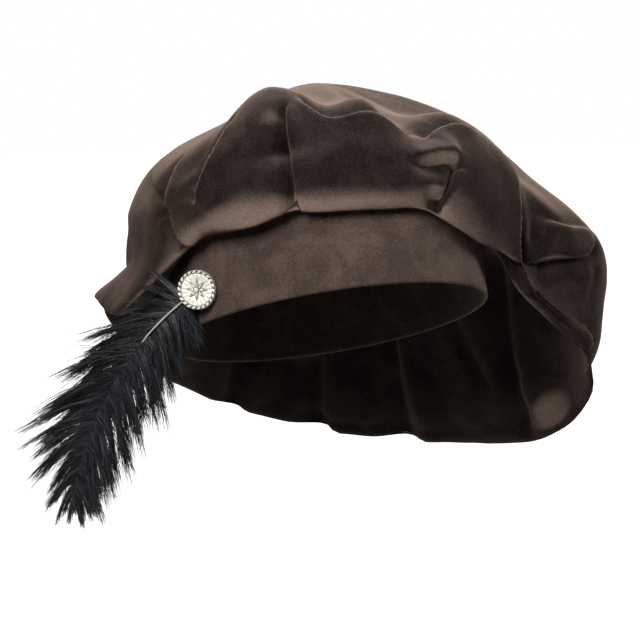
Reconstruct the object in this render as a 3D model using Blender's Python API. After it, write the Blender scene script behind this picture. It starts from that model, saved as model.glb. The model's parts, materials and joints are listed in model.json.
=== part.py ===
"""Soft pleated velvet beret with a head band, a cast button and a curled plume.

Run with: blender --background --python part.py, or from Blender's text editor.
Metres, +Z up. The wearer faces -Y. The origin is the centre of the head opening, in the plane of
the band's lower edge. The beret is modelled as it is worn, with its band tilted up at the front.
"""

from collections import namedtuple
from math import cos, pi, radians, sin, tan

import bmesh
import bpy
import numpy as np
from mathutils import Matrix, Vector

MM = 0.001

# Head band. The inner oval is a 58 cm head.
HEAD_HALF_WIDTH = 81.5 * MM
HEAD_HALF_LENGTH = 101.5 * MM
BAND_WALL = 2.5 * MM
BAND_HEIGHT = 46.0 * MM
WORN_TILT = radians(17.5)
BAND_COLUMNS = 72

# Crown
CLOTH = 2.0 * MM
SEAM_GAP = 0.3 * MM
BAND_CLEARANCE = 0.5 * MM
WELD = 0.01 * MM
CENTRE_UP = 131.0
FOLDED_COLUMNS = 72
PLAIN_COLUMNS = 30
FOLDED_ROWS = 17
PLAIN_ROWS = 4
FOLDED_UP_TO = 0.74
FOLDED_FROM, FOLDED_TO = -116.0, 72.0

# Button, in the band's own upright and round directions
BUTTON_AZIMUTH = -73.0
BUTTON_UP = 16.0 * MM
BUTTON_FACES = -42.0
BUTTON_STANDS_OFF = 6.4 * MM
BUTTON_RADIUS = 10.4 * MM
BUTTON_FACE = 2.6 * MM
BUTTON_DISH = 0.5 * MM
BUTTON_EDGE = 1.6 * MM
BUTTON_COLUMNS = 64
BUTTON_RINGS = (0.10, 0.22, 0.36, 0.46, 0.64, 0.81, 0.86, 0.91, 0.96, 1)
PETALS, PETAL_RELIEF = 16, 0.5 * MM
STAR_RAYS, STAR_RELIEF, STAR_REACH = 8, 0.8 * MM, 0.44
BOSS_RELIEF, BOSS_REACH = 0.8 * MM, 0.16
RIM_BEADS, RIM_RELIEF = 16, 0.9 * MM
POST_RADIUS = 1.8 * MM
POST_LENGTH = 5.9 * MM
POST_COLUMNS = 16

# Plume. It lies behind the button, on the button's own axes: across, then down, in millimetres.
QUILL_BEND = (-58.0, 40.0)
QUILL_TIP = (-72.0, 118.0)
QUILL_FROM, QUILL_TO = 0.035, 0.86
QUILL_RADIUS = 0.8 * MM
QUILL_BEHIND = 1.15 * MM
QUILL_STEPS, QUILL_SIDES = 14, 6
VANE_FROM = 0.06
VANE_THICKNESS = 2.6 * MM
VANE_BACK = 5.0 * MM
VANE_DROOP = 7.0
LOCKS, BARB_STEPS, LOCK_NOTCH = 16, 4, 0.82
BARB_BOW = 3.0
Barb = namedtuple("Barb", "along left_across left_down right_across right_down")
BARBS = (
    Barb(0.00, -46, -4, 6, 26),
    Barb(0.12, -54, 12, 6, 34),
    Barb(0.30, -53, 16, 8, 40),
    Barb(0.55, -47, 21, 8, 42),
    Barb(0.75, -35, 24, 6, 40),
    Barb(0.90, -20, 24, 3, 28),
    Barb(1.00, -4, 14, 2, 13),
)

Look = namedtuple("Look", "colour roughness metallic")
VELVET = Look((0.075, 0.054, 0.044), 0.8, 0.0)
SILVER = Look((0.55, 0.51, 0.43), 0.35, 1.0)
BLACK_PLUME = Look((0.012, 0.012, 0.014), 0.7, 0.0)
QUILL_HORN = Look((0.30, 0.28, 0.26), 0.5, 0.0)

# Each row is one upright section of the crown. Azimuth is in degrees from the wearer's front
# towards the wearer's left; out and up are in millimetres from the crown's plumb axis and from
# the origin. lip is the lowest fold, over or below the band; hollow is how far the cloth between
# the seam and the lip is drawn in; belly, shoulder, crest and dip follow it up and over the top.
Section = namedtuple(
    "Section",
    "azimuth lip_out lip_up hollow belly_out belly_up shoulder_out shoulder_up "
    "crest_out crest_up dip_out dip_up",
)
SECTIONS = (
    Section(-150, 111, -34, 14, 122, -4, 118, 32, 96, 74, 56, 106),
    Section(-130, 117, -6, 14, 116, 18, 110, 46, 92, 80, 54, 106),
    Section(-115, 121, 13, 12, 100, 36, 103, 60, 87, 88, 50, 109),
    Section(-97, 112, 8, 10, 101, 36, 101, 64, 84, 91, 48, 112),
    Section(-80, 99, 32, 4, 102, 50, 101, 74, 84, 97, 46, 115),
    Section(-64, 98, 51, 0.5, 105, 62, 103, 86, 82, 108, 46, 121),
    Section(-43, 105, 60, 0.5, 111, 76, 107, 104, 84, 132, 50, 128),
    Section(-22, 107, 66, 0.5, 112, 82, 106, 102, 88, 120, 52, 122),
    Section(-8, 107, 69, 0.5, 112, 84, 106, 104, 86, 124, 52, 122),
    Section(7, 107, 68, 0.5, 112, 82, 106, 96, 88, 108, 54, 116),
    Section(27, 109, 58, 2, 117, 76, 112, 100, 88, 118, 56, 115),
    Section(37, 109, 43, 4, 120, 64, 114, 93, 88, 111, 58, 113),
    Section(45, 112, 24, 8, 122, 48, 116, 78, 92, 98, 62, 112),
    Section(55, 126, 4, 10, 142, 30, 138, 56, 102, 88, 64, 114),
    Section(65, 146, -16, 20, 157, 8, 154, 46, 114, 82, 68, 116),
    Section(78, 153, -46, 28, 158, -14, 155, 36, 117, 80, 68, 114),
    Section(95, 150, -72, 24, 157, -32, 154, 30, 118, 78, 68, 110),
    Section(120, 147, -83, 16, 158, -42, 152, 22, 118, 74, 66, 108),
    Section(145, 137, -81, 12, 152, -42, 148, 20, 118, 70, 66, 106),
    Section(170, 128, -68, 12, 144, -34, 142, 22, 112, 72, 62, 106),
    Section(190, 116, -52, 12, 134, -24, 130, 26, 104, 74, 58, 106),
)

# Each row is one fold, drawn on the cloth from foot through bend to head. Azimuths are in
# degrees, and along is the place between the seam, 0, and the crown's centre, 1. depth is how
# far the fold's line is drawn in, in millimetres, or raised if it is negative; left and right
# are how far the cloth takes, on each side of the line, to come back.
Fold = namedtuple(
    "Fold",
    "foot_azimuth foot_along bend_azimuth bend_along head_azimuth head_along depth left right",
)
FOLDS = (
    Fold(-30, 0.12, -31, 0.42, -35, 0.68, 13, 28, 5),
    Fold(-64, 0.12, -60, 0.42, -44, 0.68, 12, 20, 5),
    Fold(-68, 0.20, -74, 0.42, -70, 0.62, 9, 16, 5),
    Fold(-72, 0.44, -82, 0.56, -110, 0.68, 8, 5, 16),
    Fold(-34, 0.72, -14, 0.70, 6, 0.64, 8, 24, 8),
    Fold(9, 0.20, 18, 0.50, -2, 0.44, 14, 22, 4),
    Fold(8, 0.66, 30, 0.74, 48, 0.60, 7, 20, 7),
    Fold(44, 0.22, 46, 0.42, 52, 0.62, 13, 6, 18),
    Fold(44, 0.20, 56, 0.32, 66, 0.54, 9, 8, 5),
    Fold(62, 0.20, 74, 0.30, 92, 0.56, 7, 16, 8),
    Fold(82, 0.0, 90, 0.14, 96, 0.34, 14, 18, 5),
    Fold(106, 0.0, 112, 0.14, 116, 0.30, 8, 16, 5),
    Fold(128, 0.0, 130, 0.14, 133, 0.34, 12, 18, 5),
    Fold(154, 0.0, 153, 0.14, 152, 0.36, 12, 18, 5),
    Fold(180, 0.0, 179, 0.14, 176, 0.34, 10, 16, 5),
    Fold(206, 0.0, 206, 0.14, 210, 0.36, 10, 16, 5),
    Fold(234, 0.0, 236, 0.14, 240, 0.36, 8, 14, 5),
    Fold(-102, 0.10, -96, 0.30, -92, 0.50, 5, 12, 6),
    Fold(140, 0.40, 150, 0.60, 146, 0.80, 5, 24, 24),
    Fold(186, 0.36, 194, 0.58, 196, 0.80, 6, 24, 24),
    Fold(226, 0.36, 222, 0.58, 226, 0.80, 5, 24, 24),
    Fold(100, 0.38, 98, 0.58, 104, 0.80, 5, 24, 24),
)
MM_PER_DEGREE = 1.8
MM_ALONG = 300.0
FOLD_SAMPLES = 24
FOLD_RISE = 0.16

# Where each control point of a section lies along the cloth, from the seam to the crown's centre,
# and one beyond it that keeps the top round.
STATIONS = np.array([0.0, 0.10, 0.20, 0.36, 0.52, 0.68, 0.84, 1.0, 1.16])


def cubic_through(knots, values, at):
    """Values at the given places on a smooth curve through the knots."""
    rise = np.gradient(values, knots, axis=0)
    i = np.clip(np.searchsorted(knots, at, side="right") - 1, 0, len(knots) - 2)
    span = knots[i + 1] - knots[i]
    t = (at - knots[i]) / span
    shape = (-1,) + (1,) * (values.ndim - 1)
    t, span = t.reshape(shape), span.reshape(shape)
    return (
        (2 * t**3 - 3 * t**2 + 1) * values[i]
        + (t**3 - 2 * t**2 + t) * span * rise[i]
        + (3 * t**2 - 2 * t**3) * values[i + 1]
        + (t**3 - t**2) * span * rise[i + 1]
    )


def round_the_crown(azimuths, values, at):
    """As cubic_through, for values given round the whole circle, in degrees."""
    knots = np.concatenate([azimuths - 360, azimuths, azimuths + 360])
    return cubic_through(knots, np.concatenate([values] * 3), (at - azimuths[0]) % 360 + azimuths[0])


def seam_ring(azimuth):
    """Out and up, in millimetres, of the band's top edge on each section's plane."""
    half_width = (HEAD_HALF_WIDTH + BAND_WALL + BAND_CLEARANCE) / MM
    half_length = (HEAD_HALF_LENGTH + BAND_WALL + BAND_CLEARANCE) / MM * cos(WORN_TILT)
    a = np.radians(azimuth)
    out = 1 / np.sqrt((np.sin(a) / half_width) ** 2 + (np.cos(a) / half_length) ** 2)
    up = (BAND_HEIGHT + SEAM_GAP) / MM * cos(WORN_TILT) + tan(WORN_TILT) * np.cos(a) * out
    return out, up


def section_controls(azimuth):
    """The control points (out, up) of the section at each azimuth, from seam to centre."""
    ring = np.array([row.azimuth for row in SECTIONS], float)
    tabled = np.array([row[1:] for row in SECTIONS], float)
    lip, hollow, rest = tabled[:, 0:2], tabled[:, 2:3], tabled[:, 3:]
    rows = round_the_crown(ring, np.concatenate([lip, hollow, rest], 1), azimuth)
    seam = np.stack(seam_ring(azimuth), 1)
    lip, hollow, rest = rows[:, 0:2], rows[:, 2:3], rows[:, 3:].reshape(len(azimuth), 4, 2)
    run = lip - seam
    inward = np.stack([run[:, 1], -run[:, 0]], 1) / np.linalg.norm(run, axis=1, keepdims=True)
    under = seam + run / 2 + inward * hollow
    centre = np.tile([[0.0, CENTRE_UP]], (len(azimuth), 1))
    beyond = rest[:, -1] * (-1, 1)
    return np.concatenate([np.stack([seam, under, lip], 1), rest, np.stack([centre, beyond], 1)], 1)


def fold_depth(fold, azimuth, along):
    """How far one fold draws the cloth in, in millimetres, at each point [azimuth, along]."""
    t = np.linspace(0, 1, FOLD_SAMPLES)
    foot, bend, head = np.array(fold[:6]).reshape(3, 2)
    line = np.outer((1 - t) ** 2, foot) + np.outer(2 * t * (1 - t), bend) + np.outer(t**2, head)
    turn = (azimuth[:, None] - bend[0] + 180) % 360 - 180 + bend[0]
    here = np.stack(np.broadcast_arrays(turn * MM_PER_DEGREE, along[None] * MM_ALONG), -1)
    line = line * (MM_PER_DEGREE, MM_ALONG)
    start, step = line[:-1], np.diff(line, axis=0)
    best = np.full(here.shape[:2], np.inf)
    depth = np.zeros_like(best)
    for i in range(len(step)):
        away = here - start[i]
        share = np.clip(away @ step[i] / (step[i] @ step[i]), 0, 1)
        gap = away - share[..., None] * step[i]
        distance = np.hypot(gap[..., 0], gap[..., 1])
        side = step[i, 0] * away[..., 1] - step[i, 1] * away[..., 0]
        reach = np.where(side > 0, fold.left, fold.right)
        place = (i + share) / len(step)
        strength = np.clip(place / FOLD_RISE, 0, 1) * (1 - place**2)
        value = fold.depth * strength * np.clip(1 - distance / reach, 0, 1) ** 2
        nearer = distance < best
        best = np.where(nearer, distance, best)
        depth = np.where(nearer, value, depth)
    return depth


def crown_points(azimuth, along):
    """The crown's outer face, in metres, as an array [azimuth, along, xyz]."""
    controls = section_controls(azimuth)
    flat = cubic_through(STATIONS, controls.transpose(1, 0, 2).reshape(len(STATIONS), -1), along)
    out_up = flat.reshape(len(along), len(azimuth), 2).transpose(1, 0, 2) * MM
    a = np.radians(azimuth)[:, None]
    axis_y = (BAND_HEIGHT + SEAM_GAP) * sin(WORN_TILT)
    x = out_up[..., 0] * np.sin(a)
    y = axis_y - out_up[..., 0] * np.cos(a)
    points = np.stack([x, y, out_up[..., 1]], -1)
    normal = np.cross(np.gradient(points, axis=0), np.gradient(points, axis=1))
    normal /= np.linalg.norm(normal, axis=-1, keepdims=True) + 1e-12
    depth = sum(fold_depth(fold, azimuth, along) for fold in FOLDS)
    return clear_of_band(points - normal * (depth * MM)[..., None])


def clear_of_band(points):
    """The points, with any that would lie in the band's wall moved out to rest against it."""
    turn = np.array(Matrix.Rotation(WORN_TILT, 3, "X"))
    upright = points @ turn.T
    oval = np.array([HEAD_HALF_WIDTH, HEAD_HALF_LENGTH]) + BAND_WALL + BAND_CLEARANCE
    share = np.hypot(upright[..., 0] / oval[0], upright[..., 1] / oval[1])
    beside = upright[..., 2] < BAND_HEIGHT + SEAM_GAP / 2
    upright[..., :2] *= np.where(beside & (share < 1), 1 / share, 1)[..., None]
    return upright @ turn


def crown_lines():
    """Azimuths and places along the cloth of the crown's columns and rows, closer where it folds."""
    folded = np.linspace(FOLDED_FROM, FOLDED_TO, FOLDED_COLUMNS + 1)
    plain = np.linspace(FOLDED_TO, FOLDED_FROM + 360, PLAIN_COLUMNS + 1)[1:]
    rows = np.linspace(0, FOLDED_UP_TO, FOLDED_ROWS + 1)
    top = np.linspace(FOLDED_UP_TO, 1, PLAIN_ROWS + 1)[1:]
    return np.concatenate([folded, plain]), np.concatenate([rows, top])


def grid_mesh(points):
    """A sheet through points[column, row]. Points that meet are joined."""
    columns, rows = points.shape[0] - 1, points.shape[1] - 1
    bm = bmesh.new()
    bmesh.ops.create_grid(bm, x_segments=columns, y_segments=rows, size=0.5)
    for v in bm.verts:
        v.co = points[round((v.co.x + 0.5) * columns), round((v.co.y + 0.5) * rows)]
    bmesh.ops.remove_doubles(bm, verts=bm.verts, dist=WELD)
    bmesh.ops.recalc_face_normals(bm, faces=bm.faces)
    return bm


def new_object(name, bm, look):
    mesh = bpy.data.meshes.new(name)
    bm.to_mesh(mesh)
    bm.free()
    mesh.materials.append(material(name, look))
    obj = bpy.data.objects.new(name, mesh)
    bpy.context.scene.collection.objects.link(obj)
    return obj


def material(name, look):
    made = bpy.data.materials.new(name)
    made.use_nodes = True
    shader = made.node_tree.nodes["Principled BSDF"]
    shader.inputs["Base Color"].default_value = (*look.colour, 1)
    shader.inputs["Roughness"].default_value = look.roughness
    shader.inputs["Metallic"].default_value = look.metallic
    made.diffuse_color = (*look.colour, 1)
    return made


def thicken(obj, thickness, offset):
    wall = obj.modifiers.new("wall", "SOLIDIFY")
    wall.thickness = thickness
    wall.offset = offset


def crown():
    obj = new_object("crown", grid_mesh(crown_points(*crown_lines())), VELVET)
    thicken(obj, CLOTH, -1)
    return obj


def head_band():
    bm = bmesh.new()
    ring = bmesh.ops.create_circle(bm, segments=BAND_COLUMNS, radius=1.0)["verts"]
    for v in ring:
        v.co = Vector((v.co.x * HEAD_HALF_WIDTH, v.co.y * HEAD_HALF_LENGTH, 0))
    raised = bmesh.ops.extrude_edge_only(bm, edges=list(bm.edges))["geom"]
    top = [item for item in raised if isinstance(item, bmesh.types.BMVert)]
    bmesh.ops.translate(bm, verts=top, vec=(0, 0, BAND_HEIGHT))
    bmesh.ops.recalc_face_normals(bm, faces=bm.faces)
    obj = new_object("head_band", bm, VELVET)
    thicken(obj, BAND_WALL, 1)
    obj.rotation_euler.x = -WORN_TILT
    return obj


def button_height(out, turn):
    """Height of the button's face above its back, at a share of its radius and an angle."""
    dish = BUTTON_FACE - BUTTON_DISH * (1 - out**2)
    petals = PETAL_RELIEF * abs(cos(turn * PETALS / 2)) if 0.45 < out < 0.82 else 0
    ray = max(0.0, 1 - out / STAR_REACH) * (0.5 + 0.5 * cos(turn * STAR_RAYS))
    boss = BOSS_RELIEF * max(0.0, 1 - (out / BOSS_REACH) ** 2)
    bead = RIM_RELIEF * (0.6 + 0.4 * cos(turn * RIM_BEADS)) if 0.85 < out < 0.97 else 0
    return dish + petals + STAR_RELIEF * ray + boss + bead


def button():
    bm = bmesh.new()
    rings = []
    turns = [2 * pi * i / BUTTON_COLUMNS for i in range(BUTTON_COLUMNS)]
    for out in BUTTON_RINGS:
        radius = out * BUTTON_RADIUS
        height = [button_height(out, turn) for turn in turns]
        if out == 1:
            height = [BUTTON_EDGE] * BUTTON_COLUMNS
        places = zip(turns, height)
        rings.append([bm.verts.new((radius * cos(t), radius * sin(t), h)) for t, h in places])
    rings.append([bm.verts.new((BUTTON_RADIUS * cos(t), BUTTON_RADIUS * sin(t), 0)) for t in turns])
    for inner, outer in zip(rings, rings[1:]):
        for i in range(BUTTON_COLUMNS):
            j = (i + 1) % BUTTON_COLUMNS
            bm.faces.new((inner[i], outer[i], outer[j], inner[j]))
    centre = bm.verts.new((0, 0, button_height(0, 0)))
    for i in range(BUTTON_COLUMNS):
        bm.faces.new((centre, rings[0][i], rings[0][(i + 1) % BUTTON_COLUMNS]))
    bm.faces.new(reversed(rings[-1]))
    bmesh.ops.recalc_face_normals(bm, faces=bm.faces)
    obj = new_object("button", bm, SILVER)
    obj.matrix_world = button_frame()
    return obj


def button_frame():
    """Where the button's back rests: its own axes across, up its face, and out of its face."""
    side = radians(BUTTON_AZIMUTH)
    x, y = HEAD_HALF_WIDTH + BAND_WALL, HEAD_HALF_LENGTH + BAND_WALL
    on_band = Vector((x * sin(side), -y * cos(side), BUTTON_UP))
    away = Vector((sin(side) / x, -cos(side) / y, 0)).normalized()
    tilt = Matrix.Rotation(-WORN_TILT, 4, "X")
    turn = radians(BUTTON_FACES)
    face = Vector((sin(turn), -cos(turn), 0))
    across = Vector((cos(turn), sin(turn), 0))
    frame = Matrix((across, Vector((0, 0, 1)), face)).transposed().to_4x4()
    frame.translation = tilt @ (on_band + away * BUTTON_STANDS_OFF)
    return frame


def button_post():
    bm = bmesh.new()
    bmesh.ops.create_cone(
        bm, cap_ends=True, segments=POST_COLUMNS, radius1=POST_RADIUS, radius2=POST_RADIUS, depth=POST_LENGTH
    )
    obj = new_object("button_post", bm, SILVER)
    obj.matrix_world = button_frame() @ Matrix.Translation((0, 0, -SEAM_GAP - POST_LENGTH / 2))
    return obj


def plume_spine(along):
    """Across and down from the button's centre, in millimetres, at a share of the quill."""
    bend, tip = np.array(QUILL_BEND), np.array(QUILL_TIP)
    t = along
    return 2 * t * (1 - t) * bend + t**2 * tip


def barb_reach(along, side):
    """Across and down, in millimetres, from the quill to the end of a barb on one side."""
    table = np.array(BARBS, float)
    columns = (1, 2) if side < 0 else (3, 4)
    return np.array([np.interp(along, table[:, 0], table[:, c]) for c in columns])


def plume_points():
    """The plume's back face on the button's own axes, as an array [along, across, xyz]."""
    stations = 2 * LOCKS + 1
    shares = np.linspace(-1, 1, 2 * BARB_STEPS + 1)
    points = np.zeros((stations, len(shares), 3))
    for i in range(stations):
        along = VANE_FROM + (1 - VANE_FROM) * i / (stations - 1)
        lock = 1.0 if i % 2 else LOCK_NOTCH
        for j, share in enumerate(shares):
            out = abs(share) * lock
            reach = barb_reach(along, share)
            bow = np.array([np.sign(share) * BARB_BOW, -BARB_BOW / 2]) * 4 * out * (1 - out)
            across, down = plume_spine(along) + reach * out + bow * min(1, 2 * (1 - along))
            points[i, j] = across, -down, -VANE_BACK / MM - VANE_DROOP * out**2
    return points * MM


def plume():
    obj = new_object("plume", grid_mesh(plume_points()), BLACK_PLUME)
    obj.matrix_world = button_frame()
    thicken(obj, VANE_THICKNESS, 1)
    return obj


def plume_quill():
    bm = bmesh.new()
    rings = []
    for i in range(QUILL_STEPS + 1):
        along = QUILL_FROM + (QUILL_TO - QUILL_FROM) * i / QUILL_STEPS
        x, down = plume_spine(along)
        ahead, down_ahead = plume_spine(along + 0.01)
        run = Vector((ahead - x, -(down_ahead - down), 0)).normalized()
        side = Vector((-run.y, run.x, 0))
        radius = QUILL_RADIUS * (1 - 0.6 * i / QUILL_STEPS)
        centre = Vector((x * MM, -down * MM, -QUILL_BEHIND))
        turns = [2 * pi * k / QUILL_SIDES for k in range(QUILL_SIDES)]
        ring = [centre + (side * cos(t) + Vector((0, 0, 1)) * sin(t)) * radius for t in turns]
        rings.append([bm.verts.new(p) for p in ring])
    for one, two in zip(rings, rings[1:]):
        for k in range(QUILL_SIDES):
            n = (k + 1) % QUILL_SIDES
            bm.faces.new((one[k], one[n], two[n], two[k]))
    bm.faces.new(rings[0])
    bm.faces.new(rings[-1])
    bmesh.ops.recalc_face_normals(bm, faces=bm.faces)
    obj = new_object("plume_quill", bm, QUILL_HORN)
    obj.matrix_world = button_frame()
    return obj


def main():
    for obj in list(bpy.data.objects):
        bpy.data.objects.remove(obj)
    crown()
    head_band()
    button()
    button_post()
    plume()
    plume_quill()


main()
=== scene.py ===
"""Dresses the pleated velvet beret: its crown, head band, cast button and ostrich plume.

Lengths are in metres, and in millimetres where a name or a docstring says so. The wearer faces
-Y, and azimuths are in degrees from the wearer's front towards the wearer's left.
"""

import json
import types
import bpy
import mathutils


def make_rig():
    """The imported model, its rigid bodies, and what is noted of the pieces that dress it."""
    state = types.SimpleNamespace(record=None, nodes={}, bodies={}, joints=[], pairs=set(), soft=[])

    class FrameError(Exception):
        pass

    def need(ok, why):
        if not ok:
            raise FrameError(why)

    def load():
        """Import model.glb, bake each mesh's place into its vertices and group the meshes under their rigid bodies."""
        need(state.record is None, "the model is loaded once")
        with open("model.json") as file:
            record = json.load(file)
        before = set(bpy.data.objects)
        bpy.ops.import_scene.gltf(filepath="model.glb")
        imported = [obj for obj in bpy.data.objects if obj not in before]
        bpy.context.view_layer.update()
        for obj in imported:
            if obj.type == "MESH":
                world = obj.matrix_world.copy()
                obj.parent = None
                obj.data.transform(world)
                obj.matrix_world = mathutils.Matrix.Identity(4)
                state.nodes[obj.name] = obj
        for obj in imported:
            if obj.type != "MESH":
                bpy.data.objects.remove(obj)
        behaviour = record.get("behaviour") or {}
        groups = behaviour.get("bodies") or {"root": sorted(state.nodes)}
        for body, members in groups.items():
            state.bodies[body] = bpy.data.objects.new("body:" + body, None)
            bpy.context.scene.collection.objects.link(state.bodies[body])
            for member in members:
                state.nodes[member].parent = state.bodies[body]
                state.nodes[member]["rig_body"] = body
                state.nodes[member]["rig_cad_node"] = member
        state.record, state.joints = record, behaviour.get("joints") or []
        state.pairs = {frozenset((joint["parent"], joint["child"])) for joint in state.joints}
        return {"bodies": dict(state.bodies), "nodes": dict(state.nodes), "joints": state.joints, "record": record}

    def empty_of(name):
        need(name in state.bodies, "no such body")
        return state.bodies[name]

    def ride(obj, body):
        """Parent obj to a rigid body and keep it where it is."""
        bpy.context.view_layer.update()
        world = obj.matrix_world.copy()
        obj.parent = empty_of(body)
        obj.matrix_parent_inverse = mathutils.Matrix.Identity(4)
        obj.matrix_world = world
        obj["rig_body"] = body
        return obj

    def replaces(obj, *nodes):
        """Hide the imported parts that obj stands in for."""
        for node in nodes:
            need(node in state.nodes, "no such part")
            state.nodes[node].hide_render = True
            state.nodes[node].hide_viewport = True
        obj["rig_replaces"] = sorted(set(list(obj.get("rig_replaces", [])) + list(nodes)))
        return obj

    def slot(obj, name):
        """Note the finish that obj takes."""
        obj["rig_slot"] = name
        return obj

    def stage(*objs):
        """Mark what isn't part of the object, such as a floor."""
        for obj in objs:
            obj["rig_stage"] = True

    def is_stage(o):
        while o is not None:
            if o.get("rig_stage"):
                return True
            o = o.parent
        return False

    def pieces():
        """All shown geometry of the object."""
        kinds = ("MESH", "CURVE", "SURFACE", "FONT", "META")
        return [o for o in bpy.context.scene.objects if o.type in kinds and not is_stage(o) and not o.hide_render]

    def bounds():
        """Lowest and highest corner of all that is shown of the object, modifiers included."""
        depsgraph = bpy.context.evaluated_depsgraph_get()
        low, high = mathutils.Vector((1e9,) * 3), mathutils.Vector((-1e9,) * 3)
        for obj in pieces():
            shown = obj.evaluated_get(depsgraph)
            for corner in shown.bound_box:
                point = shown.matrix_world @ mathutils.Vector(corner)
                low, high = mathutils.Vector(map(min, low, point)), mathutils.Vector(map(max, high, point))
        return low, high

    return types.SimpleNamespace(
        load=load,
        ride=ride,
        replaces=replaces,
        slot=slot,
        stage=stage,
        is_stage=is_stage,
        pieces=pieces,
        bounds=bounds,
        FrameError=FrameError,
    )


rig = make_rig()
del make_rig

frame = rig.load()
CAD_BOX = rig.bounds()

import json
import logging
from dataclasses import dataclass
from enum import Enum
from math import cos, pi, radians, sin, tan

import bmesh
import bpy
import numpy as np
from mathutils import Matrix, Vector, noise

LOG = logging.getLogger("beret")
BODY = "root"
MM = 0.001
SIZE_FILE = "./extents.json"
NAP = "nap"
TONE_AND_HIGHLIGHT = "tone_and_highlight"
PHOTO_WIDTH = 640

Place = tuple[float, float]
Colour = tuple[float, float, float]


# Shared shapes


def smooth_step(low: float, high: float, value: np.ndarray) -> np.ndarray:
    """A rise from 0 at low to 1 at high with level ends.

    Args:
        low: Where the rise starts.
        high: Where it is complete.
        value: The places to read it at.

    Returns:
        The height at each place.
    """
    t = np.clip((value - low) / (high - low), 0, 1)
    return t * t * (3 - 2 * t)


def cubic_through(knots: np.ndarray, values: np.ndarray, at: np.ndarray) -> np.ndarray:
    """Reads a smooth curve through tabled values.

    Args:
        knots: Where each value stands, rising.
        values: One row per knot.
        at: The places to read.

    Returns:
        One row per place.
    """
    rise = np.gradient(values, knots, axis=0)
    i = np.clip(np.searchsorted(knots, at, side="right") - 1, 0, len(knots) - 2)
    span = knots[i + 1] - knots[i]
    t = (at - knots[i]) / span
    shape = (-1,) + (1,) * (values.ndim - 1)
    t, span = t.reshape(shape), span.reshape(shape)
    return (
        (2 * t**3 - 3 * t**2 + 1) * values[i]
        + (t**3 - 2 * t**2 + t) * span * rise[i]
        + (3 * t**2 - 2 * t**3) * values[i + 1]
        + (t**3 - t**2) * span * rise[i + 1]
    )


def grid_mesh(points: np.ndarray, nap: np.ndarray | None = None) -> bmesh.types.BMesh:
    """Lays a grid through points and joins those that meet.

    Args:
        points: An array [column, row, xyz].
        nap: The way the cloth's pile is stroked at each point, if it is cloth.

    Returns:
        The sheet, with its faces turned one way.
    """
    columns, rows = points.shape[0] - 1, points.shape[1] - 1
    bm = bmesh.new()
    bmesh.ops.create_grid(bm, x_segments=columns, y_segments=rows, size=0.5)
    layer = bm.verts.layers.float_vector.new(NAP) if nap is not None else None
    for v in bm.verts:
        column, row = round((v.co.x + 0.5) * columns), round((v.co.y + 0.5) * rows)
        v.co = points[column, row]
        if layer is not None:
            v[layer] = nap[column, row]
    bmesh.ops.remove_doubles(bm, verts=bm.verts, dist=0.002 * MM)
    bmesh.ops.recalc_face_normals(bm, faces=bm.faces)
    return bm


def place_piece(
    name: str,
    shape: bmesh.types.BMesh | bpy.types.Mesh,
    look: bpy.types.Material,
    slot: str,
    stands_for: list[str],
) -> bpy.types.Object:
    """Makes a piece of the hat from a finished mesh.

    Args:
        name: The piece's name.
        shape: Its mesh; a BMesh is freed.
        look: Its material.
        slot: The record's material slot that it takes its finish from.
        stands_for: The CAD nodes that it replaces.

    Returns:
        The piece, riding on the hat's one body.
    """
    mesh = shape
    if isinstance(shape, bmesh.types.BMesh):
        mesh = bpy.data.meshes.new(name)
        shape.to_mesh(mesh)
        shape.free()
    mesh.materials.clear()
    mesh.materials.append(look)
    mesh.shade_smooth()
    piece = bpy.data.objects.new(name, mesh)
    bpy.context.scene.collection.objects.link(piece)
    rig.ride(piece, BODY)
    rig.slot(piece, slot)
    if stands_for:
        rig.replaces(piece, *stands_for)
    LOG.info("%s: %d faces", name, len(mesh.polygons))
    return piece


# Finishes


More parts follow.
